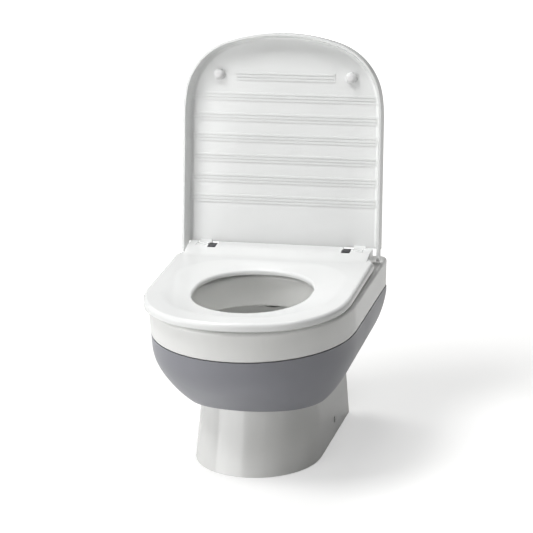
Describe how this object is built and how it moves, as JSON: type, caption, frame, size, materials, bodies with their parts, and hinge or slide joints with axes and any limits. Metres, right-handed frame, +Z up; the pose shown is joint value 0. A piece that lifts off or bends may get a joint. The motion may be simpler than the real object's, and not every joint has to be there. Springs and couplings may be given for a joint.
{
  "type": "floor-standing toilet pan with seat and lid",
  "caption": "Close-coupled style china toilet pan on a foot, with a grey moulded shell under the rim band, a seat ring and a raised tray lid.",
  "frame": {"origin": "on the floor, midway between the two floor bolt holes inside the foot", "axes": "+Z up, +Y towards the wall and along the waste outlet, -Y towards the user, +X to the right seen from the front"},
  "size_m": [0.3894, 0.5146, 0.7261],
  "materials": {
    "china": "glazed white china",
    "grey_shell": "satin blue-grey moulded plastic",
    "white_plastic": "gloss white moulded plastic",
    "white_rubber": "soft white rubber",
    "black_rubber": "black rubber",
    "nylon": "natural nylon",
    "stainless": "brushed stainless steel",
    "dark_steel": "dark burnished steel",
    "polished_steel": "polished steel"
  },
  "bodies": {
    "base": {"pan": "china", "bowl_shell": "grey_shell", "shell_plugs": "nylon", "shell_screws": "stainless", "hinge_bracket_left": "dark_steel", "hinge_bracket_right": "dark_steel", "hinge_pin_left": "stainless", "hinge_pin_right": "stainless", "hinge_pads": "black_rubber", "hinge_bolts": "stainless", "hinge_sleeves": "black_rubber", "hinge_washers": "stainless", "hinge_nuts": "nylon", "floor_bracket_left": "stainless", "floor_bracket_right": "stainless", "foot_bushes": "nylon", "foot_screws": "polished_steel", "flush_seal": "black_rubber"},
    "seat": {"seat": "white_plastic", "seat_buffers": "white_rubber", "seat_bush_left": "nylon", "seat_bush_right": "nylon"},
    "lid": {"lid": "white_plastic", "lid_buffers": "white_rubber", "lid_bush_left": "nylon", "lid_bush_right": "nylon"}
  },
  "joints": [
    {"name": "lid_hinge", "type": "hinge", "parent": "base", "child": "lid", "pos_m": [0, 0.088, 0.328], "axis": [1, 0, 0], "range_deg": [0, 101.5]},
    {"name": "seat_hinge", "type": "hinge", "parent": "base", "child": "seat", "pos_m": [0, 0.088, 0.328], "axis": [1, 0, 0], "range_deg": [-101, 0]}
  ]
}
